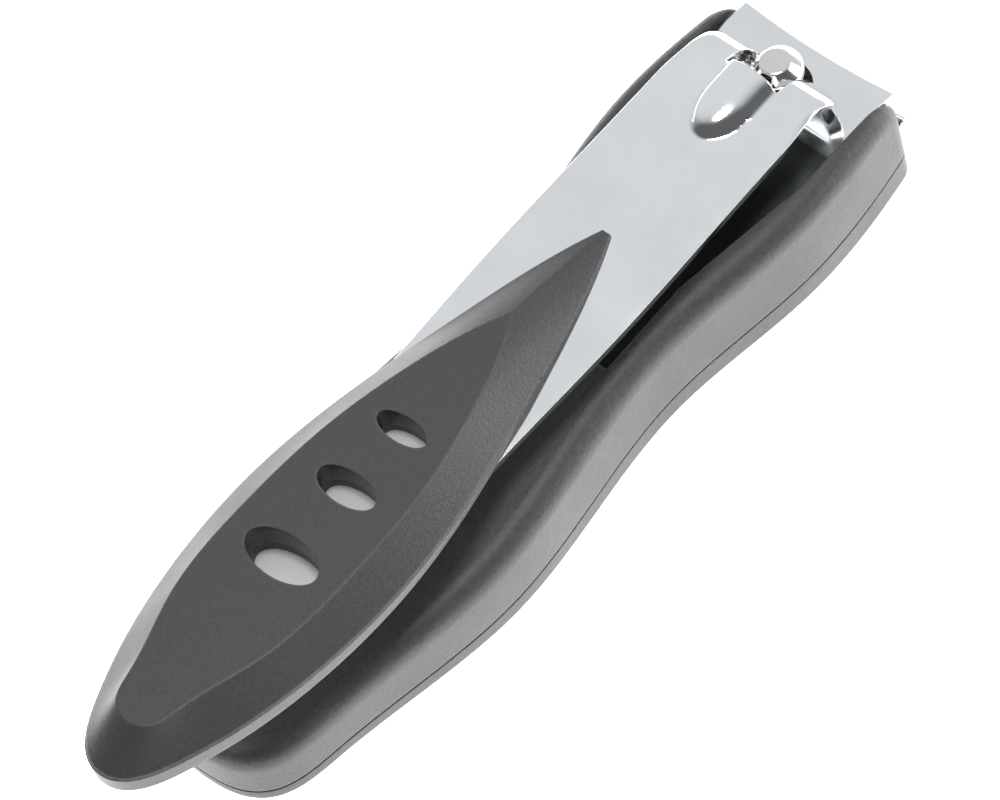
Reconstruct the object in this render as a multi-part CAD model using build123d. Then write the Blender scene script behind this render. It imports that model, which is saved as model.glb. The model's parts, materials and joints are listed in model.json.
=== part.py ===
from build123d import *
import os
from math import asin, atan, degrees, radians, tan

# Compound-lever nail clipper in a plastic case that catches the clippings, with the
# lever folded flat for storage. Millimetres. +X points to the jaws, +Z is up, and the
# whole object is mirrored about the XZ plane. It is modelled with x = 0 near the middle
# and moved at the end, so that the origin is the bottom centre of its bounding box.

# ---- Driving dimensions ------------------------------------------------------------

# Case: the plan outline is a smooth curve through these half widths
case_front = 40.0
case_rear = -33.1
front_half = 8.6
bulge_x, bulge_half = 26.3, 9.8
waist_x, waist_half = 12.2, 8.2
hip_x, hip_half = -8.0, 10.0
tail_x, tail_half = -25.4, 7.4
case_top_front = 10.2
case_top_mid = 8.8
case_top_rear = 6.0
case_nose_radius = 3.2
case_corner = 1.5
shoulder_radius = 1.8
foot_radius = 0.7
case_wall = 1.9
case_floor = 1.2
case_roof = 1.2
parting_front = 2.9
parting_rear = 1.5
parting_groove = 0.16
rail_half = 3.6
rail_width = 1.0

# Arms of the clipper: two plates riveted at the rear, jaws at the front
plate = 1.0
lower_arm_z = 2.5
arm_rear = -25.0
rivet_x = -21.0
arm_tail_half = 5.0
arm_mid_x, arm_mid_half = 16.0, 5.6
arm_front_x = 30.0
jaw_half = 7.5
jaw_x = 41.2
jaw_hollow = 0.38
jaw_bevel = 0.85
upper_arm_top = 9.1
upper_edge_z = 7.6
lower_edge_z = 4.7
arm_side_gap = 0.35
roofed_length = 7.5

# Rear rivet
rivet_radius = 1.3
rivet_head_radius = 2.2
rivet_head = 0.5
rivet_play = 0.2

# Pin that joins the arms to the lever
pin_x = 35.8
pin_radius = 1.45
pin_fit = 0.05
pin_head_radius = 2.1
pin_flat_radius = 1.15
pin_head_bottom = 10.7
pin_head_top = 12.4
pin_foot_radius = 2.4
pin_foot = 0.9
upper_hole_radius = 2.5

# Lever: pressed strip with a fork at the front, lying on the arms
flip_z = 9.8
lever_tilt = 2.0
strip = 1.1
strip_rise = 3.7
fold_ahead = 0.6
strip_half = 6.4
strip_mid_half = 6.6
strip_tail_half = 4.4
strip_length = 72.0
tine_half = 6.0
tine_bend_x = -2.1
tine_bend_radius = 2.0
notch_half = 2.6
notch_depth = 2.45
tine_tip_half = 1.75
tine_corner = 2.6
tine_start = 0.9
strip_edge_radius = 0.5
bump_radius = 2.2
bump_height = 1.15
bump_length = 6.4

# Grip on the lever; x is counted from the pin towards the rear
beak_x = 19.45
beak_half = 0.4
beak_height = 0.2
leaf_tip_x = 29.8
leaf_tip_half = 0.1
leaf_rear_x = 72.6
leaf_height = 2.6
leaf_fall = 1.8
grip_rear_x = 76.5
grip_half = 8.1
leaf_half = 5.4
rim_slope = 0.023
rim_front = beak_height - beak_x * rim_slope
base_front_x = 32.0
hole_spans = [(42.2, 1.05, 2.4), (48.4, 1.35, 2.8), (55.6, 1.77, 3.45)]
peg_radius = 1.2
peg_places = [36.5, 64.0]
peg_head_radius = 1.9
peg_head = 0.5
peg_gap = 0.1
BIG = 60.0


# ---- Helpers -----------------------------------------------------------------------

def side_solid(points, half_width):
    """A solid with this outline in the XZ plane, as wide as 2 * half_width."""
    face = make_face(Plane.XZ * Polyline(*points, close=True))
    return extrude(face, amount=half_width, both=True)


def plan_face(half_outline):
    """The face inside a curve on the +Y side and its mirror image, with a blunt front end."""
    edges = [half_outline, mirror(half_outline, about=Plane.XZ)]
    start = half_outline @ 0
    if start.Y > 0:
        edges.append(Line((start.X, -start.Y), (start.X, start.Y)))
    return make_face(edges)


def slab(x0, x1, half_width, z0, z1):
    """A box, centred on the XZ plane."""
    return Pos((x0 + x1) / 2, 0, (z0 + z1) / 2) * Box(x1 - x0, 2 * half_width, z1 - z0)


def upright(x, radius, z0, z1):
    """A cylinder that stands on z0 and ends at z1."""
    return Pos(x, 0, (z0 + z1) / 2) * Cylinder(radius, z1 - z0)


# ---- Case --------------------------------------------------------------------------

def case_outline(inset=0.0, corner=0.0):
    """Plan outline of the case, or one this far inside it: wide, a waist, wide, a round tail.

    The front corners are rounded by the corner radius, or left sharp.
    """
    curve = Spline(
        (case_front, front_half - inset), (bulge_x, bulge_half - inset),
        (waist_x, waist_half - inset), (hip_x, hip_half - inset),
        (tail_x, tail_half - inset), (case_rear + inset, 0),
        tangents=[(-1, 0.18), (0, -1)],
    )
    front = Line((case_front, inset - front_half), (case_front, front_half - inset))
    face = make_face([curve, mirror(curve, about=Plane.XZ), front])
    return fillet(face.vertices().group_by(Axis.X)[-1], corner) if corner else face


def parting_z(x):
    """Height of the line between the two shells."""
    share = (x - case_rear) / (case_front - case_rear)
    return parting_rear + (parting_front - parting_rear) * share


def case_top_curve(drop=0.0):
    """The top of the case in the XZ plane, or a line this far below it."""
    mid = (case_front + case_rear) / 2
    return Spline(
        (case_rear - 1, case_top_rear - drop), (mid, case_top_mid - drop),
        (case_front - case_nose_radius, case_top_front - drop),
        tangents=[(1, 0.045), (1, 0.01)],
    )


def case_body():
    """The closed outer shape of the whole case."""
    top = case_top_curve()
    nose = RadiusArc(top @ 1, (case_front, case_top_front - case_nose_radius), case_nose_radius)
    end = nose @ 1
    rest = Polyline(end, (end.X, 0), ((top @ 0).X, 0), top @ 0)
    profile = extrude(make_face(Plane.XZ * (top + nose + rest)), amount=BIG, both=True)
    body = extrude(case_outline(), amount=BIG) & profile
    shoulder = [e for e in body.edges() if e.center().Z > case_top_rear - 1 and e.length > 20]
    body = fillet(shoulder, shoulder_radius)
    sole = [e for e in body.edges() if e.bounding_box().max.Z < 0.01 and e.length > 20]
    return fillet(sole, foot_radius) & extrude(case_outline(corner=case_corner), amount=BIG)


def arm_channel():
    """The space in the case for the arms, open at the front and along the top."""
    slot_half = arm_mid_half + arm_side_gap
    mouth_half = jaw_half + arm_side_gap
    slot_end = arm_mid_x - roofed_length
    half = [(slot_end, slot_half), (arm_mid_x + 1, slot_half),
            (arm_front_x - 1, mouth_half), (case_front + 10, mouth_half)]
    outline = half + [(x, -y) for x, y in reversed(half)]
    slot = Pos(0, 0, case_floor) * extrude(make_face(Polyline(*outline, close=True)), amount=BIG)
    inside = Pos(0, 0, case_floor) * extrude(case_outline(case_wall), amount=BIG)
    roof = case_top_curve(case_roof)
    start, end = roof @ 0, roof @ 1
    ceiling = make_face(Plane.XZ * (roof + Polyline(end, (end.X, 0), (start.X, 0), start)))
    inside = inside & extrude(ceiling, amount=BIG, both=True)
    inside = inside & slab(case_rear, slot_end + 0.5, BIG, 0, BIG)
    return slot + inside


def case_shells():
    """Upper and lower shell, with a fine groove round the line between them."""
    body = case_body() - arm_channel()
    ring = extrude(case_outline(-1), amount=parting_groove)
    ring = ring - extrude(case_outline(parting_groove, case_corner), amount=parting_groove)
    slope = degrees(atan((parting_front - parting_rear) / (case_front - case_rear)))
    ring = Pos(0, 0, parting_z(0) - parting_groove / 2) * Rot(0, -slope, 0) * ring
    body = body - ring
    above = Pos(0, 0, parting_z(0)) * Rot(0, -slope, 0) * Pos(0, 0, BIG) * Box(4 * BIG, 2 * BIG, 2 * BIG)
    upper = body & above
    lower = body - above
    for side in (1, -1):
        rail = Pos(0, side * rail_half, 0) * slab(arm_rear + 2, case_front - 8, rail_width / 2,
                                                  case_floor, lower_arm_z - pin_fit)
        lower = lower + rail
    return upper, lower


# ---- Arms --------------------------------------------------------------------------

def arm_plan():
    """Plan outline of both arms: a round tail, slim in the middle, wide jaws."""
    half = Polyline((arm_rear + arm_tail_half, arm_tail_half), (arm_mid_x, arm_mid_half),
                    (arm_front_x, jaw_half), (jaw_x + 1, jaw_half), (jaw_x + 1, 0))
    tail = RadiusArc((arm_rear, 0), half @ 0, arm_tail_half)
    return extrude(plan_face(tail + half), amount=BIG)


def jaw_cutter(bevel_points):
    """What the grinding takes off in front of a jaw, round an upright axis ahead of it."""
    radius = (jaw_half ** 2 + jaw_hollow ** 2) / (2 * jaw_hollow)
    centre = jaw_x - jaw_hollow + radius
    face = make_face(Plane.XZ * Polyline(*bevel_points, close=True))
    sweep = 2 * degrees(asin((jaw_half + 3) / radius))
    axis = Axis((centre, 0, 0), (0, 0, 1))
    return revolve(face, axis, sweep / 2) + revolve(face, axis, -sweep / 2)


def upper_blade():
    z = lower_arm_z + plate
    low = upper_arm_top - plate
    points = [(arm_rear, z), (rivet_x, z), (arm_front_x - 2, low), (jaw_x - 3, low),
              (jaw_x + 1, upper_edge_z - 0.1), (jaw_x + 1, upper_arm_top - 0.5),
              (jaw_x - 3.4, upper_arm_top), (arm_front_x - 2, upper_arm_top),
              (rivet_x, z + plate), (arm_rear, z + plate)]
    blade = side_solid(points, BIG) & arm_plan()
    edge = jaw_x - jaw_hollow
    cut = jaw_cutter([(edge, 0), (edge, upper_edge_z), (edge - jaw_bevel, upper_arm_top - 0.3),
                      (edge - jaw_bevel - 0.1, 20), (edge + 8, 20), (edge + 8, 0)])
    blade = blade - cut
    blade = blade - upright(pin_x, upper_hole_radius, 0, BIG)
    return blade - upright(rivet_x, rivet_radius + rivet_play, 0, BIG)


def lower_blade():
    z = lower_arm_z
    bend = pin_x + pin_foot_radius + 0.2
    points = [(arm_rear, z), (bend, z), (jaw_x + 0.6, lower_edge_z - 0.6), (jaw_x + 1, lower_edge_z + 0.1),
              (jaw_x - 1.4, lower_edge_z - 0.4), (bend - 0.2, z + plate), (arm_rear, z + plate)]
    blade = side_solid(points, BIG) & arm_plan()
    edge = jaw_x - jaw_hollow
    cut = jaw_cutter([(edge, 20), (edge, lower_edge_z), (edge - jaw_bevel, lower_edge_z - 1.1),
                      (edge - jaw_bevel - 0.1, 0), (edge + 8, 0), (edge + 8, 20)])
    blade = blade - cut
    blade = blade - upright(pin_x, pin_radius + pin_fit, 0, BIG)
    return blade - upright(rivet_x, rivet_radius, 0, BIG)


def rear_rivet():
    low = lower_arm_z
    high = lower_arm_z + 2 * plate + rivet_play
    rivet = upright(rivet_x, rivet_radius, low, high)
    rivet = rivet + upright(rivet_x, rivet_head_radius, low - rivet_head, low)
    top = upright(rivet_x, rivet_head_radius, high, high + rivet_head)
    return rivet + fillet(top.edges().group_by(Axis.Z)[-1], rivet_head * 0.8)


# ---- Pin ---------------------------------------------------------------------------

def lever_pin():
    foot_top = lower_arm_z - pin_fit
    chamfer_drop = pin_head_radius - pin_flat_radius
    outline = Polyline(
        (0, foot_top - pin_foot), (pin_foot_radius, foot_top - pin_foot), (pin_foot_radius, foot_top),
        (pin_radius, foot_top), (pin_radius, pin_head_bottom), (pin_head_radius, pin_head_bottom),
        (pin_head_radius, pin_head_top - chamfer_drop * 0.9), (pin_flat_radius, pin_head_top),
        (0, pin_head_top), close=True)
    return Pos(pin_x, 0, 0) * revolve(make_face(Plane.XZ * outline), Axis.Z)


# ---- Lever, modelled flat; its origin is on the pin's axis, level with the fold axis ----

def strip_plan():
    """Plan of the strip: fork, blade, round tail."""
    corner = tine_corner
    front = fold_ahead + strip / 2
    half = Polyline((front, 0), (front, tine_half - corner))
    corner_arc = RadiusArc((front, tine_half - corner), (front - corner, tine_half), -corner)
    side = Spline((front - corner, tine_half), (-6, strip_half), (-24, strip_mid_half),
                  (-42, strip_half - 0.2), (-62, strip_tail_half + 0.8),
                  (-strip_length, 0), tangents=[(-1, 0.1), (0, -1)])
    return extrude(plan_face(half + corner_arc + side), amount=BIG, both=True)


def strip_profile():
    """The bent sheet seen from the side: flat, then down to the round tips of the tines."""
    half = strip / 2
    bend = Vector(tine_bend_x, strip_rise - half)
    down = -bend.normalized()
    across = Vector(-down.Y, down.X)
    mitre = (Vector(0, 1) + across) * (half / (1 + across.Y))
    rear = -strip_length
    outline = [(rear, bend.Y + half), bend + mitre, across * half,
               across * -half, bend - mitre, (rear, bend.Y - half)]
    face = make_face(Polyline(*outline, close=True))
    outer = face.vertices().sort_by_distance(bend + mitre)[0]
    face = fillet(outer, tine_bend_radius)
    inner = face.vertices().sort_by_distance(bend - mitre)[0]
    face = fillet(inner, tine_bend_radius - strip)
    face = face + Circle(half)
    return Pos(fold_ahead, 0, 0) * extrude(Plane.XZ * face, amount=BIG, both=True)


def oval_holes(low, high):
    """The three ovals down the middle of the grip, widest across the lever."""
    holes = [Pos(-x, 0, low) * extrude(Ellipse(along, across), amount=high - low)
             for x, along, across in hole_spans]
    return holes[0] + holes[1] + holes[2]


def bump_body(radius):
    """A lengthwise half-round bump with a round rear end, of this radius."""
    centre_z = strip_rise + bump_height - bump_radius
    straight = Pos(-bump_length / 2, 0, centre_z) * Rot(0, 90, 0) * Cylinder(radius, bump_length)
    return straight + Pos(-bump_length, 0, centre_z) * Sphere(radius)


def lever():
    plan = strip_plan()
    blade = plan & slab(-BIG * 2, BIG, BIG, strip_rise - strip, strip_rise)
    rim = [e for e in blade.faces().sort_by(Axis.Z)[-1].edges() if e.length > 5]
    blade = fillet(rim, strip_edge_radius) & slab(-BIG * 2, tine_bend_x - tine_start, BIG, 0, BIG)
    tines = strip_profile() & plan & slab(tine_bend_x - tine_start, BIG, BIG, -BIG, BIG)
    body = blade + tines
    body = body + (bump_body(bump_radius) & slab(-12, -notch_depth, BIG, strip_rise - strip, BIG))
    body = body - bump_body(bump_radius - strip)
    body = body - slab(-notch_depth, 3, notch_half, -3, BIG)
    for side in (1, -1):
        mid = side * (notch_half + tine_tip_half) / 2
        tip = Pos(fold_ahead, mid, 0) * Rot(90, 0, 0) * Cylinder(strip / 2, notch_half - tine_tip_half + 0.2)
        body = body + tip
    for x in peg_places:
        body = body - upright(-x, peg_radius + peg_gap, -BIG, BIG)
    return body


# ---- Grip --------------------------------------------------------------------------

def grip_curve():
    """Half outline of the grip, from the blunt beak to the rear end."""
    return Spline((-beak_x, beak_half), (-32.6, 4.65), (-43.5, 7.2), (-51.5, grip_half),
                  (-62.5, 7.3), (-71.5, 4.7), (-grip_rear_x, 0),
                  tangents=[(-1, 0.46), (0, -1)])


def leaf_curve():
    """Half outline of the leaf-shaped top face."""
    return Spline((-leaf_tip_x, leaf_tip_half), (-38.0, 3.3), (-45.5, 4.9), (-53.5, leaf_half),
                  (-63.0, 4.6), (-69.5, 2.6), (-leaf_rear_x, 0), tangents=[(-1, 0.55), (0, -1)])


def slanted(curve, height, slope):
    """The face inside a half outline, laid on a plane that rises towards the rear."""
    face = plan_face(curve)
    angle = degrees(atan(slope))
    return Pos(0, 0, strip_rise + height) * Rot(0, angle, 0) * face


def grip_rim():
    """The low upright rim all round the grip, a little higher at the rear than at the beak."""
    rim = Pos(0, 0, strip_rise) * extrude(plan_face(grip_curve()), amount=grip_half)
    angle = degrees(atan(rim_slope))
    above = Rot(0, angle, 0) * Pos(0, 0, BIG) * Box(400, 400, 2 * BIG)
    return rim - Pos(0, 0, strip_rise + rim_front) * above


def grip_slopes():
    """The broad slopes from the rim up to the leaf-shaped top face."""
    fall = tan(radians(leaf_fall))
    low_face = slanted(grip_curve(), rim_front, rim_slope)
    top_face = slanted(leaf_curve(), leaf_height - leaf_tip_x * fall, fall)
    return loft([low_face, top_face], ruled=True)


def grip_base():
    """The lower layer of the grip, with two pegs that hold it to the strip."""
    behind = slab(-BIG * 2, -base_front_x, BIG, -BIG, BIG)
    base = (grip_rim() & behind) - oval_holes(0, BIG)
    low = strip_rise - strip
    for x in peg_places:
        base = base + upright(-x, peg_radius, low - peg_head, strip_rise + 0.2)
        base = base + upright(-x, peg_head_radius, low - peg_head, low)
    return base


def grip_top():
    """The upper layer of the grip, whose beak lies on the strip itself."""
    ahead = slab(-base_front_x, 0, BIG, -BIG, BIG)
    return (grip_slopes() + (grip_rim() & ahead)) - oval_holes(0, BIG)


# ---- Assembly ----------------------------------------------------------------------

def folded(solid):
    """Puts a piece of the lever on the pin, tilted so that its tail lies low."""
    return Pos(pin_x, 0, flip_z) * Rot(0, -lever_tilt, 0) * solid


upper_shell, lower_shell = case_shells()
nodes = {
    "case_upper": upper_shell,
    "case_lower": lower_shell,
    "lower_blade": lower_blade(),
    "upper_blade": upper_blade(),
    "rear_rivet": rear_rivet(),
    "lever_pin": lever_pin(),
    "lever": folded(lever()),
    "grip_base": folded(grip_base()),
    "grip_top": folded(grip_top()),
}
box = Compound(children=[Compound(list(n.solids())) for n in nodes.values()]).bounding_box()
shift = Pos(-(box.min.X + box.max.X) / 2, 0, 0)

os.makedirs("parts", exist_ok=True)
for name, solid in nodes.items():
    placed = shift * Compound(list(solid.solids()))
    export_step(placed, f"parts/{name}.step")

print("shift", shift.position.X, "box", box.min, box.max)
fold = folded(Pos(fold_ahead, 0, 0)).position + shift.position
print("pin", pin_x + shift.position.X, "fold axis", fold.X, fold.Z)
print("rivet", rivet_x + shift.position.X, "z", lower_arm_z + plate)
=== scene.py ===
# %% [markdown]
# # A nail clipper with a folding grip
# This lesson gives the finished look to a nail clipper in a plastic case. The clipper has two
# chromed arms, a turned pin, and a chromed lever with a plastic grip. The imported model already
# holds every piece at its true size, so each step takes its places from there. Nothing is
# moved by eye.

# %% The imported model
import bmesh
import bpy
import json
from math import acos, cos, radians, sin, tau
from mathutils import Matrix, Vector


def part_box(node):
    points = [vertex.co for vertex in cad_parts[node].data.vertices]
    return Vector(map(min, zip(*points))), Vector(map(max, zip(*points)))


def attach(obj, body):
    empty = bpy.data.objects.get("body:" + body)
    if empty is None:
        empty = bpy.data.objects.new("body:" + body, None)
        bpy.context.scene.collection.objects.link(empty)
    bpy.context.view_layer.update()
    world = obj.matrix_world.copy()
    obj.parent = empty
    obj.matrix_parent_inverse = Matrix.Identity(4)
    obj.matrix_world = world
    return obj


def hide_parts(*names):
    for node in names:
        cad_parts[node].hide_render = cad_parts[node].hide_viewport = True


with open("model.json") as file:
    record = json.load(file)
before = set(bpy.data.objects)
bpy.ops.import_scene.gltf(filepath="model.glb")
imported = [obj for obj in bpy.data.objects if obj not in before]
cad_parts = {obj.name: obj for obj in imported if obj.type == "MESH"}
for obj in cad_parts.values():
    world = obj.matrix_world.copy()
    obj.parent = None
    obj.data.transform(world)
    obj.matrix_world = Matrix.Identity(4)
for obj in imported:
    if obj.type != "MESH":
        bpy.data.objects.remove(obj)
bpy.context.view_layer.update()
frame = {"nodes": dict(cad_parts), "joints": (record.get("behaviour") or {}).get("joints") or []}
MM = 0.001
print("pieces:", sorted(frame["nodes"]))

# %% [markdown]
# ## The camera
# The clipper lies diagonally across the picture and is seen from above its grip end. A long
# lens from half a metre away keeps the two ends nearly the same size. A camera could be aimed
# with a constraint, but a matrix made of its own right, up and back directions says exactly
# what it does.

# %% The camera
VIEW_AZIMUTH = radians(-33.0)
VIEW_ELEVATION = radians(56.64)
VIEW_ROLL = radians(-18.09)
VIEW_DISTANCE = 0.5
LENS_MM = 241.2
AIM_BEHIND_PIN = 34.85 * MM
AIM_HEIGHT = 13.5 * MM
FRAMING_RIGHT = 2.07 * MM
FRAMING_UP = -2.30 * MM
SENSOR_MM = 36.0
joints = {joint["name"]: joint for joint in frame["joints"]}
PIN_AXIS = Vector(joints["pin_turn"]["pos_m"])


def make_camera():
    level = cos(VIEW_ELEVATION)
    back = Vector((sin(VIEW_AZIMUTH) * level, -cos(VIEW_AZIMUTH) * level, sin(VIEW_ELEVATION)))
    side = Vector((cos(VIEW_AZIMUTH), sin(VIEW_AZIMUTH), 0))
    above = back.cross(side)
    right = side * cos(VIEW_ROLL) + above * sin(VIEW_ROLL)
    up = above * cos(VIEW_ROLL) - side * sin(VIEW_ROLL)
    data = bpy.data.cameras.new("camera")
    data.lens = LENS_MM
    data.sensor_width = SENSOR_MM
    data.clip_start = 0.05
    data.clip_end = 10.0
    camera = bpy.data.objects.new("camera", data)
    bpy.context.scene.collection.objects.link(camera)
    aim = Vector((PIN_AXIS.x - AIM_BEHIND_PIN, 0, AIM_HEIGHT))
    place = aim + back * VIEW_DISTANCE + right * FRAMING_RIGHT + up * FRAMING_UP
    turn = Matrix((right, up, back)).transposed().to_4x4()
    camera.matrix_world = Matrix.Translation(place) @ turn
    bpy.context.scene.camera = camera
    return camera


camera = make_camera()
print("camera at", [round(c, 3) for c in camera.location])

# %% [markdown]
# ## The table and the light
# Small shiny things are photographed in a tent of white cloth, on a table that is lit from
# below. The table could be a plain sheet under strong lamps, but a lit one also lightens the
# steep sides of the case and leaves the top dark, with no hard shadow. The tent is brighter
# in front of the jaws than behind the grip. The colours are kept as they are lit, with no
# film curve, as in a catalogue picture. The glow fades away from the middle of the table.

# %% The table
TABLE_SIDE = 3.0
TABLE_GLOW = 2.5
TABLE_GLOW_FAR = 0.15
GLOW_NEAR_RADIUS = 0.10
GLOW_FAR_RADIUS = 0.40


def principled(name):
    """A new material with one Principled shader."""
    material = bpy.data.materials.new(name)
    material.use_nodes = True
    tree = material.node_tree
    tree.nodes.clear()
    shader = tree.nodes.new("ShaderNodeBsdfPrincipled")
    output = tree.nodes.new("ShaderNodeOutputMaterial")
    tree.links.new(shader.outputs["BSDF"], output.inputs["Surface"])
    return material, tree, shader


def piece_from(bm, name):
    """An object with this name that holds the finished mesh, shaded smooth."""
    for face in bm.faces:
        face.smooth = True
    mesh = bpy.data.meshes.new(name)
    bm.to_mesh(mesh)
    bm.free()
    piece = bpy.data.objects.new(name, mesh)
    bpy.context.scene.collection.objects.link(piece)
    return piece


def make_table():
    bm = bmesh.new()
    bmesh.ops.create_grid(bm, x_segments=1, y_segments=1, size=TABLE_SIDE / 2)
    table = piece_from(bm, "table")
    material, tree, shader = principled("lit white table")
    shader.inputs["Base Color"].default_value = (0.9, 0.9, 0.9, 1)
    shader.inputs["Roughness"].default_value = 0.9
    shader.inputs["Emission Color"].default_value = (1, 1, 1, 1)
    distance = tree.nodes.new("ShaderNodeVectorMath")
    distance.operation = "LENGTH"
    tree.links.new(tree.nodes.new("ShaderNodeTexCoord").outputs["Object"], distance.inputs[0])
    glow = tree.nodes.new("ShaderNodeMapRange")
    glow.interpolation_type = "SMOOTHSTEP"
    reach = (GLOW_NEAR_RADIUS, GLOW_FAR_RADIUS, TABLE_GLOW, TABLE_GLOW_FAR)
    for label, amount in zip(("From Min", "From Max", "To Min", "To Max"), reach):
        glow.inputs[label].default_value = amount
    tree.links.new(distance.outputs["Value"], glow.inputs["Value"])
    tree.links.new(glow.outputs["Result"], shader.inputs["Emission Strength"])
    table.data.materials.append(material)
    return table


table = make_table()
print("table side in m:", TABLE_SIDE)

# %% The tent
TENT_BRIGHT_SIDE = Vector((0.70, 0.60, 0.38)).normalized()
TENT_DARK = 0.12
TENT_BRIGHT = 0.74
TENT_DARK_UP_TO = -0.05
TENT_BRIGHT_FROM = 0.7


def make_tent():
    world = bpy.data.worlds.new("white tent")
    world.use_nodes = True
    tree = world.node_tree
    background = tree.nodes["Background"]
    background.inputs["Color"].default_value = (0.97, 0.985, 1.0, 1)
    place = tree.nodes.new("ShaderNodeTexCoord").outputs["Generated"]
    toward = tree.nodes.new("ShaderNodeVectorMath")
    toward.operation = "DOT_PRODUCT"
    toward.inputs[1].default_value = TENT_BRIGHT_SIDE
    tree.links.new(place, toward.inputs[0])
    cloth = tree.nodes.new("ShaderNodeMapRange")
    cloth.interpolation_type = "SMOOTHSTEP"
    reach = (TENT_DARK_UP_TO, TENT_BRIGHT_FROM, TENT_DARK, TENT_BRIGHT)
    for label, amount in zip(("From Min", "From Max", "To Min", "To Max"), reach):
        cloth.inputs[label].default_value = amount
    tree.links.new(toward.outputs["Value"], cloth.inputs["Value"])
    tree.links.new(cloth.outputs["Result"], background.inputs["Strength"])
    bpy.context.scene.world = world


def soft_light(name, place, size, strength, aim=(0, 0, 0.008)):
    """A square of light that faces the clipper, with its strength in watts."""
    data = bpy.data.lights.new(name, "AREA")
    data.shape = "RECTANGLE"
    data.size, data.size_y = size
    data.energy = strength
    lamp = bpy.data.objects.new(name, data)
    bpy.context.scene.collection.objects.link(lamp)
    toward = Vector(aim) - Vector(place)
    turn = toward.to_track_quat("-Z", "Y").to_matrix().to_4x4()
    lamp.matrix_world = Matrix.Translation(place) @ turn
    return lamp


make_tent()
soft_light("front light", (0.43, -0.34, 0.235), (0.28, 0.28), 1.6)
soft_light("top light", (0.0, 0.0, 0.6), (0.16, 0.16), 1.35)
bpy.context.scene.view_settings.view_transform = "Standard"
print("lights:", [lamp.name for lamp in bpy.data.lights])

# %% [markdown]
# ## Shared effects
# Moulded plastic has a fine, even grain that the mould was etched with. It could be painted,
# but noise on the piece's own coordinates is even on every side and needs no seams. Polished
# metal has hairline marks and slightly clouded patches instead, and its group also paints a flat
# colour behind a given place along the piece, as painted light. Each effect is a node group,
# so that each material can set its own scale and strength.

# %% Helpers for node groups


def new_group(name, inputs, outputs):
    group = bpy.data.node_groups.new(name, "ShaderNodeTree")
    for label, kind, value in inputs:
        socket = group.interface.new_socket(label, in_out="INPUT", socket_type=kind)
        socket.default_value = value
    for label, kind in outputs:
        group.interface.new_socket(label, in_out="OUTPUT", socket_type=kind)
    entry = group.nodes.new("NodeGroupInput")
    leaving = group.nodes.new("NodeGroupOutput")
    return group, entry, leaving


def put(tree, kind, **settings):
    node = tree.nodes.new(kind)
    for key, value in settings.items():
        setattr(node, key, value)
    return node


def feed(tree, source, target):
    if isinstance(source, bpy.types.NodeSocket):
        tree.links.new(source, target)
    else:
        target.default_value = source


def combine(tree, operation, first, second):
    node = put(tree, "ShaderNodeMath", operation=operation)
    feed(tree, first, node.inputs[0])
    feed(tree, second, node.inputs[1])
    return node.outputs[0]


def spread(tree, value, low, high, new_low, new_high):
    node = put(tree, "ShaderNodeMapRange")
    for socket, amount in zip(node.inputs, (value, low, high, new_low, new_high)):
        feed(tree, amount, socket)
    return node.outputs["Result"]


def noise(tree, place, scale, detail=2.0, roughness=0.5):
    node = put(tree, "ShaderNodeTexNoise")
    feed(tree, place, node.inputs["Vector"])
    feed(tree, scale, node.inputs["Scale"])
    node.inputs["Detail"].default_value = detail
    node.inputs["Roughness"].default_value = roughness
    return node.outputs["Fac"]


# %% Moulded grain
FLOAT = "NodeSocketFloat"
COLOUR = "NodeSocketColor"
VECTOR = "NodeSocketVector"
GRAIN_HEIGHT = 0.04 * MM
GRAIN_CLOUD_SCALE = 120.0


def grain_group():
    group, entry, leaving = new_group(
        "moulded grain",
        [("Scale", FLOAT, 3000.0), ("Depth", FLOAT, 0.2), ("Edge Size", FLOAT, 0.3 * MM),
         ("Base Roughness", FLOAT, 0.45), ("Colour", COLOUR, (0.05, 0.05, 0.05, 1)),
         ("Worn Colour", COLOUR, (0.1, 0.1, 0.1, 1))],
        [("Colour", COLOUR), ("Roughness", FLOAT), ("Normal", VECTOR)],
    )
    place = put(group, "ShaderNodeTexCoord").outputs["Object"]
    fine = noise(group, place, entry.outputs["Scale"], 3.0, 0.65)
    cloudy = noise(group, place, GRAIN_CLOUD_SCALE, 3.0, 0.55)
    rounded = put(group, "ShaderNodeBevel", samples=4)
    feed(group, entry.outputs["Edge Size"], rounded.inputs["Radius"])
    bump = put(group, "ShaderNodeBump")
    bump.inputs["Distance"].default_value = GRAIN_HEIGHT
    feed(group, entry.outputs["Depth"], bump.inputs["Strength"])
    feed(group, fine, bump.inputs["Height"])
    feed(group, rounded.outputs["Normal"], bump.inputs["Normal"])
    true_normal = put(group, "ShaderNodeNewGeometry").outputs["True Normal"]
    facing = put(group, "ShaderNodeVectorMath", operation="DOT_PRODUCT")
    feed(group, rounded.outputs["Normal"], facing.inputs[0])
    feed(group, true_normal, facing.inputs[1])
    edge = spread(group, facing.outputs["Value"], 0.995, 0.93, 0.0, 1.0)
    worn = combine(group, "MULTIPLY", edge, spread(group, cloudy, 0.35, 0.6, 0.3, 1.0))
    shade = put(group, "ShaderNodeMix", data_type="RGBA")
    feed(group, worn, shade.inputs["Factor"])
    feed(group, entry.outputs["Colour"], shade.inputs["A"])
    feed(group, entry.outputs["Worn Colour"], shade.inputs["B"])
    tone = put(group, "ShaderNodeHueSaturation")
    feed(group, spread(group, fine, 0.3, 0.7, 0.82, 1.18), tone.inputs["Value"])
    feed(group, shade.outputs["Result"], tone.inputs["Color"])
    clouded = spread(group, cloudy, 0.3, 0.7, -0.05, 0.05)
    rough = combine(group, "ADD", entry.outputs["Base Roughness"], clouded)
    feed(group, tone.outputs["Color"], leaving.inputs["Colour"])
    feed(group, rough, leaving.inputs["Roughness"])
    feed(group, bump.outputs["Normal"], leaving.inputs["Normal"])
    return group


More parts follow.
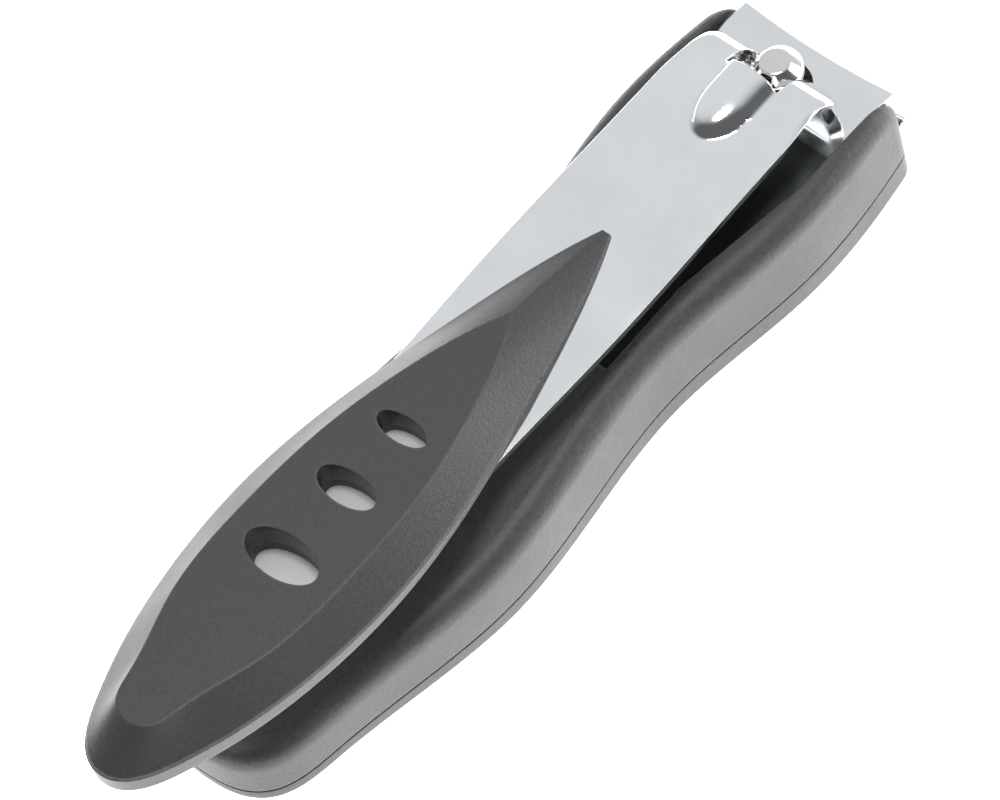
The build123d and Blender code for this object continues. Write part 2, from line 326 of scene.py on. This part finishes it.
moulded_grain = grain_group()
print("effect:", moulded_grain.name)

# %% Polish marks and a painted zone
PAINTED_ZONE_ROUGHNESS = 0.3
PAINTED_ZONE_FADE = 1.5 * MM
HAIRLINE_STRETCH = 0.06
HAIRLINE_SCALE = 9000.0
HAIRLINE_HEIGHT = 0.02 * MM
RIPPLE_SCALE = 260.0
RIPPLE_HEIGHT = 0.4 * MM
POLISH_CLOUD_SCALE = 150.0


def polish_and_painted_zone_group():
    group, entry, leaving = new_group(
        "polish marks and painted zone",
        [("Base Roughness", FLOAT, 0.1), ("Mark Depth", FLOAT, 0.04), ("Ripple", FLOAT, 0.05),
         ("Edge Size", FLOAT, 0.2 * MM), ("Colour", COLOUR, (0.8, 0.8, 0.8, 1)),
         ("Painted Zone Behind", FLOAT, -1.0), ("Painted Zone Colour", COLOUR, (0.5, 0.5, 0.5, 1)),
         ("Painted Zone Metal", FLOAT, 1.0), ("Painted Zone Underside", FLOAT, 1.0)],
        [("Colour", COLOUR), ("Roughness", FLOAT), ("Metallic", FLOAT), ("Normal", VECTOR)],
    )
    own = put(group, "ShaderNodeTexCoord")
    place = own.outputs["Object"]
    forward = put(group, "ShaderNodeSeparateXYZ")
    feed(group, place, forward.inputs[0])
    # The painted zone lies behind a given place along the piece: painted shade on the arms, a
    # painted pale reflection on the lever's top.
    behind = combine(group, "SUBTRACT", entry.outputs["Painted Zone Behind"], forward.outputs["X"])
    upward = put(group, "ShaderNodeSeparateXYZ")
    feed(group, own.outputs["Normal"], upward.inputs[0])
    on_top = spread(group, upward.outputs["Z"], 0.3, 0.6, entry.outputs["Painted Zone Underside"], 1.0)
    painted_zone = combine(group, "MULTIPLY", spread(group, behind, 0.0, PAINTED_ZONE_FADE, 0.0, 1.0), on_top)
    along = put(group, "ShaderNodeMapping")
    along.inputs["Scale"].default_value = (HAIRLINE_STRETCH, 1.0, 1.0)
    feed(group, place, along.inputs["Vector"])
    hairlines = noise(group, along.outputs["Vector"], HAIRLINE_SCALE, 2.0, 0.6)
    ripple = noise(group, place, RIPPLE_SCALE, 1.0, 0.4)
    cloudy = noise(group, place, POLISH_CLOUD_SCALE, 4.0, 0.6)
    rounded = put(group, "ShaderNodeBevel", samples=4)
    feed(group, entry.outputs["Edge Size"], rounded.inputs["Radius"])
    wave = put(group, "ShaderNodeBump")
    wave.inputs["Distance"].default_value = RIPPLE_HEIGHT
    feed(group, entry.outputs["Ripple"], wave.inputs["Strength"])
    feed(group, ripple, wave.inputs["Height"])
    feed(group, rounded.outputs["Normal"], wave.inputs["Normal"])
    marks = put(group, "ShaderNodeBump")
    marks.inputs["Distance"].default_value = HAIRLINE_HEIGHT
    feed(group, entry.outputs["Mark Depth"], marks.inputs["Strength"])
    feed(group, hairlines, marks.inputs["Height"])
    feed(group, wave.outputs["Normal"], marks.inputs["Normal"])
    tone = put(group, "ShaderNodeHueSaturation")
    feed(group, spread(group, cloudy, 0.3, 0.7, 0.95, 1.03), tone.inputs["Value"])
    finish = put(group, "ShaderNodeMix", data_type="RGBA")
    feed(group, painted_zone, finish.inputs["Factor"])
    feed(group, entry.outputs["Colour"], finish.inputs["A"])
    feed(group, entry.outputs["Painted Zone Colour"], finish.inputs["B"])
    feed(group, finish.outputs["Result"], tone.inputs["Color"])
    clouded = spread(group, cloudy, 0.35, 0.7, -0.02, 0.04)
    rough = combine(group, "ADD", entry.outputs["Base Roughness"], clouded)
    zone_roughening = combine(group, "MULTIPLY", painted_zone, PAINTED_ZONE_ROUGHNESS)
    loss = combine(group, "SUBTRACT", 1.0, entry.outputs["Painted Zone Metal"])
    metallic = combine(group, "SUBTRACT", 1.0, combine(group, "MULTIPLY", painted_zone, loss))
    feed(group, tone.outputs["Color"], leaving.inputs["Colour"])
    feed(group, combine(group, "ADD", rough, zone_roughening), leaving.inputs["Roughness"])
    feed(group, metallic, leaving.inputs["Metallic"])
    feed(group, marks.outputs["Normal"], leaving.inputs["Normal"])
    return group


polish_and_painted_zone = polish_and_painted_zone_group()
print("effect:", polish_and_painted_zone.name)

# %% [markdown]
# ## The finishes
# The case and the grip are dark grey moulded plastic. The case has a coarser grain and a
# duller face than the grip. The arms and the lever are polished and chromed, and the pin is
# turned steel with a warmer plating. Behind the jaws the arms are painted dark, as painted shade
# for the shadow under the lever and its dark underside reflected in them; where the grip covers
# it, the lever's top is painted a pale non-metal white, as a painted reflection.

# %% The plastics


def plastic(name, colour, worn, roughness, grain_scale, depth):
    material, tree, shader = principled(name)
    effect = put(tree, "ShaderNodeGroup", node_tree=moulded_grain)
    settings = {"Scale": grain_scale, "Depth": depth, "Base Roughness": roughness,
                "Colour": (*colour, 1), "Worn Colour": (*worn, 1)}
    for label, value in settings.items():
        effect.inputs[label].default_value = value
    feed(tree, effect.outputs["Colour"], shader.inputs["Base Color"])
    feed(tree, effect.outputs["Roughness"], shader.inputs["Roughness"])
    feed(tree, effect.outputs["Normal"], shader.inputs["Normal"])
    return material


case_plastic = plastic("case plastic", colour=(0.050, 0.052, 0.050), worn=(0.11, 0.11, 0.11),
                       roughness=0.46, grain_scale=2600.0, depth=0.9)
grip_plastic = plastic("grip plastic", colour=(0.056, 0.056, 0.058), worn=(0.13, 0.13, 0.13),
                       roughness=0.40, grain_scale=4200.0, depth=0.7)
print("plastics:", case_plastic.name, "and", grip_plastic.name)

# %% The metals


def metal(name, colour, roughness, marks, ripple, edge,
          behind=-1.0, painted_zone=(0.5, 0.5, 0.5), painted_zone_metal=1.0, painted_zone_underside=1.0):
    material, tree, shader = principled(name)
    effect = put(tree, "ShaderNodeGroup", node_tree=polish_and_painted_zone)
    settings = {"Base Roughness": roughness, "Mark Depth": marks, "Ripple": ripple,
                "Edge Size": edge, "Colour": (*colour, 1), "Painted Zone Behind": behind,
                "Painted Zone Colour": (*painted_zone, 1), "Painted Zone Metal": painted_zone_metal,
                "Painted Zone Underside": painted_zone_underside}
    for label, value in settings.items():
        effect.inputs[label].default_value = value
    feed(tree, effect.outputs["Colour"], shader.inputs["Base Color"])
    feed(tree, effect.outputs["Roughness"], shader.inputs["Roughness"])
    feed(tree, effect.outputs["Metallic"], shader.inputs["Metallic"])
    feed(tree, effect.outputs["Normal"], shader.inputs["Normal"])
    return material


# The arms' zone behind the jaws is painted shade: a dark colour for the shadow under the lever and
# the lever's dark underside reflected in the arm.
UNDER_GRIP = PIN_AXIS.x - 39 * MM
BEHIND_JAWS = PIN_AXIS.x - 1.6 * MM
CHROME = (0.90, 0.915, 0.93)
# The lever's zone under the grip is a painted reflection: a pale non-metal colour on its top, so the
# strip looks bright through the grip's holes.
lever_chrome = metal("lever chrome", CHROME, roughness=0.10, marks=0.05, ripple=0.06, edge=0.12 * MM,
                     behind=UNDER_GRIP, painted_zone=(0.93, 0.94, 0.95), painted_zone_metal=0.0, painted_zone_underside=0.0)
arm_chrome = metal("arm chrome", CHROME, roughness=0.12, marks=0.05, ripple=0.06, edge=0.15 * MM,
                   behind=BEHIND_JAWS, painted_zone=(0.06, 0.065, 0.065))
pin_metal = metal("plated pin steel", (0.82, 0.81, 0.78), roughness=0.16, marks=0.10, ripple=0.02,
                  edge=0.12 * MM)
print("metals:", lever_chrome.name + ",", arm_chrome.name, "and", pin_metal.name)

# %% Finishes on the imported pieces
FINISH = {
    "case_upper": case_plastic,
    "case_lower": case_plastic,
    "grip_top": grip_plastic,
    "grip_base": grip_plastic,
    "upper_blade": arm_chrome,
    "lower_blade": arm_chrome,
    "lever": lever_chrome,
    "rear_rivet": pin_metal,
    "lever_pin": pin_metal,
}
for name, material in FINISH.items():
    for slot in frame["nodes"][name].material_slots:
        slot.material = material
print("finished:", len(FINISH), "pieces")

# %% [markdown]
# ## The lever
# The real lever is a strip of sheet steel that was pressed in one blow: its long edges are
# rolled down, its front is cut into a fork and bent down, and a bump is pushed up behind the
# fork. It could be cut from a solid, but then every reflection would break at an edge. Here a
# flat grid is bent through the same steps as the sheet, and only then gets its thickness.

# %% Where the lever sits
FOLD_AXIS = Vector(joints["lever_flip"]["pos_m"])
LEVER_TILT = radians(-2.0)
FOLD_AHEAD = 0.6 * MM
on_the_pin = (
    Matrix.Translation((PIN_AXIS.x, 0, FOLD_AXIS.z - FOLD_AHEAD * sin(-LEVER_TILT)))
    @ Matrix.Rotation(LEVER_TILT, 4, "Y")
)
print("fold axis in mm:", [round(c / MM, 2) for c in FOLD_AXIS])

# %% The strip's plan
STRIP_THICKNESS = 1.1 * MM
STRIP_TOP = 3.7 * MM
TAIL_END = -71.9 * MM
TAIL_ROUND = 5.5 * MM
NOTCH_EDGE = -2.45 * MM
NOTCH_HALF = 2.6 * MM
TINE_TIP_HALF = 1.9 * MM
TINE_CORNER = 2.4 * MM
BEND_START = -2.86 * MM
BEND_RADIUS = 3.4 * MM
BEND_ANGLE = radians(60)
TIP_LENGTH = 2.3 * MM
FORK_END = BEND_START + BEND_RADIUS * BEND_ANGLE + TIP_LENGTH
HOOK_START = 2.2 * MM
HOOK_LENGTH = 1.4 * MM
TAIL_BLUNTNESS = 0.0004
# how far along the strip, and half its width there, in millimetres
WIDTHS = [(-72, 4.2), (-62, 5.2), (-42, 6.2), (-24, 6.6), (-6, 6.4), (-1, 6.0), (8, 6.0)]


def ease(share):
    """A share from 0 to 1 that starts and ends gently."""
    share = min(max(share, 0.0), 1.0)
    return share * share * (3 - 2 * share)


def between(stations, place):
    """The value at a place, from a table of places and values."""
    for (x0, y0), (x1, y1) in zip(stations, stations[1:]):
        if place <= x1:
            return y0 + (y1 - y0) * ease((place - x0) / (x1 - x0))
    return stations[-1][1]


def quarter(rest, radius):
    """How much a round corner takes off, this far from its end."""
    gone = max(radius - rest, 0.0)
    return radius - (max(radius * radius - gone * gone, 0.0)) ** 0.5


def strip_half(along):
    """Half the width of the strip, with round corners at the fork and a round tail."""
    half = between(WIDTHS, along / MM) * MM
    half -= quarter(FORK_END - along, TINE_CORNER)
    tail = max(TAIL_END + TAIL_ROUND - along, 0.0) / TAIL_ROUND
    return half * max(1 - tail * tail, TAIL_BLUNTNESS) ** 0.5


print("strip length in mm:", round((FORK_END - TAIL_END) / MM, 1))

# %% The rolled edges and the bump
ROLL_RADIUS = 0.9 * MM
ROLL_DEPTH = 0.10 * MM
FORK_ROLL_DEPTH = 0.25 * MM
FORK_ROLL_START = -7 * MM
FORK_ROLL_END = -2 * MM
BUMP_HALF = 2.35 * MM
BUMP_HEIGHT = 1.2 * MM
BUMP_STRAIGHT = -5.0 * MM
BUMP_TAPER = 3.9 * MM
BUMP_STEEPNESS = 1.6


def roll_turn(along):
    """How far round the long edge is rolled, as an angle: a little, and more at the fork."""
    share = ease((along - FORK_ROLL_START) / (FORK_ROLL_END - FORK_ROLL_START))
    depth = ROLL_DEPTH + (FORK_ROLL_DEPTH - ROLL_DEPTH) * share
    radius = min(ROLL_RADIUS, strip_half(along) * 0.5)
    return radius, acos(max(1 - depth / radius, 0.0))


def roll(along, across):
    """Where a point of the flat sheet lies once the long edge is rolled: out, and down."""
    radius, turn = roll_turn(along)
    flat = strip_half(along) - radius * sin(turn)
    angle = max(across - flat, 0.0) / radius
    return min(across, flat) + radius * sin(angle), radius * (1 - cos(angle))


def sheet_half(along):
    """Half the width of the flat sheet that the strip is pressed from."""
    radius, turn = roll_turn(along)
    return strip_half(along) - radius * sin(turn) + radius * turn


def bump(along, out):
    """How far the sheet is pushed up at a place; the bump ends at the notch."""
    if along > NOTCH_EDGE + 0.1 * MM:
        return 0.0
    beyond = max(BUMP_STRAIGHT - along, 0.0) / BUMP_TAPER
    reach = (out / BUMP_HALF) ** 2 + beyond * beyond
    dome = max(1 - reach, 0.0) ** 0.5
    return BUMP_HEIGHT * (dome * ease(dome * BUMP_STEEPNESS))


print("bump height in mm:", round(bump(BUMP_STRAIGHT, 0) / MM, 2))

# %% Bending the sheet
BUMP_REAR = -9.45 * MM
# from where, to where, and how many rows of faces between them
ROWS = [(TAIL_END, BUMP_REAR, 30), (BUMP_REAR, NOTCH_EDGE, 22), (NOTCH_EDGE, FORK_END, 14)]
COLUMNS = 32
FORK_ROWS = ROWS[2][2]
EDGE_ROUNDING = 0.2 * MM
SHARPEST_UNROUNDED = radians(50)


def row_places():
    """How far along the strip each row of the grid's corners lies."""
    places = [TAIL_END]
    for start, end, steps in ROWS:
        places += [start + (end - start) * (i + 1) / steps for i in range(steps)]
    return places


def inner_half(along):
    """Half the width of the notch, or of the columns that lead to it."""
    hook = ease((along - (FORK_END - HOOK_START)) / HOOK_LENGTH)
    return min(NOTCH_HALF + (TINE_TIP_HALF - NOTCH_HALF) * hook, sheet_half(along) * 0.5)


def press(along, share):
    """A point of the pressed sheet, from its place along it and its share of the half width."""
    side = 1 if share >= 0 else -1
    inner = inner_half(along)
    share = abs(share) * 2
    if share <= 1:
        across = share * inner
    else:
        across = inner + (share - 1) * (sheet_half(along) - inner)
    out, drop = roll(along, across)
    height = bump(along, out) - drop
    bent = max(along - BEND_START, 0.0)
    angle = min(bent / BEND_RADIUS, BEND_ANGLE)
    past = max(bent - BEND_RADIUS * BEND_ANGLE, 0.0)
    x = min(along, BEND_START) + BEND_RADIUS * sin(angle) + past * cos(angle)
    z = STRIP_TOP - BEND_RADIUS * (1 - cos(angle)) - past * sin(angle)
    return Vector((x + height * sin(angle), side * out, z + height * cos(angle)))


def make_lever():
    bm = bmesh.new()
    places = row_places()
    rows = len(places) - 1
    bmesh.ops.create_grid(bm, x_segments=rows, y_segments=COLUMNS, size=0.5)
    notch = []
    for face in bm.faces:
        centre = face.calc_center_median()
        if abs(centre.y) < 0.25 and (centre.x + 0.5) * rows > rows - FORK_ROWS:
            notch.append(face)
    bmesh.ops.delete(bm, geom=notch, context="FACES")
    for vertex in bm.verts:
        row = round((vertex.co.x + 0.5) * rows)
        vertex.co = press(places[row], vertex.co.y * 2)
    bmesh.ops.transform(bm, matrix=on_the_pin, verts=bm.verts)
    return piece_from(bm, "pressed_lever")


def finish_with(piece, thickness, rounding, levels):
    """Gives the sheet its thickness, rounded edges and a smooth surface."""
    solid = piece.modifiers.new("sheet thickness", "SOLIDIFY")
    solid.thickness = thickness
    solid.offset = -1
    edge = piece.modifiers.new("rounded edges", "BEVEL")
    edge.width = rounding
    edge.segments = 2
    edge.limit_method = "ANGLE"
    edge.angle_limit = SHARPEST_UNROUNDED
    smooth = piece.modifiers.new("smooth surface", "SUBSURF")
    smooth.levels = levels
    smooth.render_levels = levels


pressed_lever = make_lever()
finish_with(pressed_lever, STRIP_THICKNESS, EDGE_ROUNDING, levels=1)
pressed_lever.data.materials.append(lever_chrome)
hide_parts("lever")
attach(pressed_lever, "lever")
print("lever faces before smoothing:", len(pressed_lever.data.polygons))

# %% [markdown]
# ## The pin
# The pin is turned on a lathe from one bar: a foot under the lower arm, a neck through both
# arms, and a head with a broad chamfer that the fork hooks under. Spinning half of its
# section round its axis is the same work as the lathe's, and bevels on the section's corners
# become rings.

# %% Turning the pin
pin_low, pin_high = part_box("lever_pin")
PIN_NECK = 1.45 * MM
PIN_FOOT = (pin_high.x - pin_low.x) / 2
PIN_FOOT_HEIGHT = 0.9 * MM
PIN_HEAD = 2.1 * MM
PIN_HEAD_BOTTOM = 10.7 * MM
PIN_HEAD_SIDE_TOP = 11.55 * MM
PIN_FLAT = 1.2 * MM
PIN_ROUNDING = 0.16 * MM
PIN_STEPS = 96
MERGE_WITHIN = 0.002 * MM


def make_pin():
    bm = bmesh.new()
    section = [(0, pin_low.z), (PIN_FOOT, pin_low.z), (PIN_FOOT, pin_low.z + PIN_FOOT_HEIGHT),
               (PIN_NECK, pin_low.z + PIN_FOOT_HEIGHT), (PIN_NECK, PIN_HEAD_BOTTOM),
               (PIN_HEAD, PIN_HEAD_BOTTOM), (PIN_HEAD, PIN_HEAD_SIDE_TOP),
               (PIN_FLAT, pin_high.z), (0, pin_high.z)]
    ring = [bm.verts.new((radius, 0, height)) for radius, height in section]
    for pair in zip(ring, ring[1:]):
        bm.edges.new(pair)
    corners = ring[1:-1]
    bmesh.ops.bevel(bm, geom=corners, offset=PIN_ROUNDING, segments=3, profile=0.5,
                    affect="VERTICES", material=-1)
    bmesh.ops.spin(bm, geom=bm.verts[:] + bm.edges[:], cent=(0, 0, 0), axis=(0, 0, 1),
                   angle=tau, steps=PIN_STEPS, use_merge=True, use_duplicate=False)
    bmesh.ops.remove_doubles(bm, verts=bm.verts, dist=MERGE_WITHIN)
    bmesh.ops.recalc_face_normals(bm, faces=bm.faces)
    bmesh.ops.translate(bm, verts=bm.verts, vec=(PIN_AXIS.x, 0, 0))
    return piece_from(bm, "turned_pin")


turned_pin = make_pin()
turned_pin.data.materials.append(pin_metal)
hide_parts("lever_pin")
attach(turned_pin, "pin")
print("pin faces:", len(turned_pin.data.polygons))
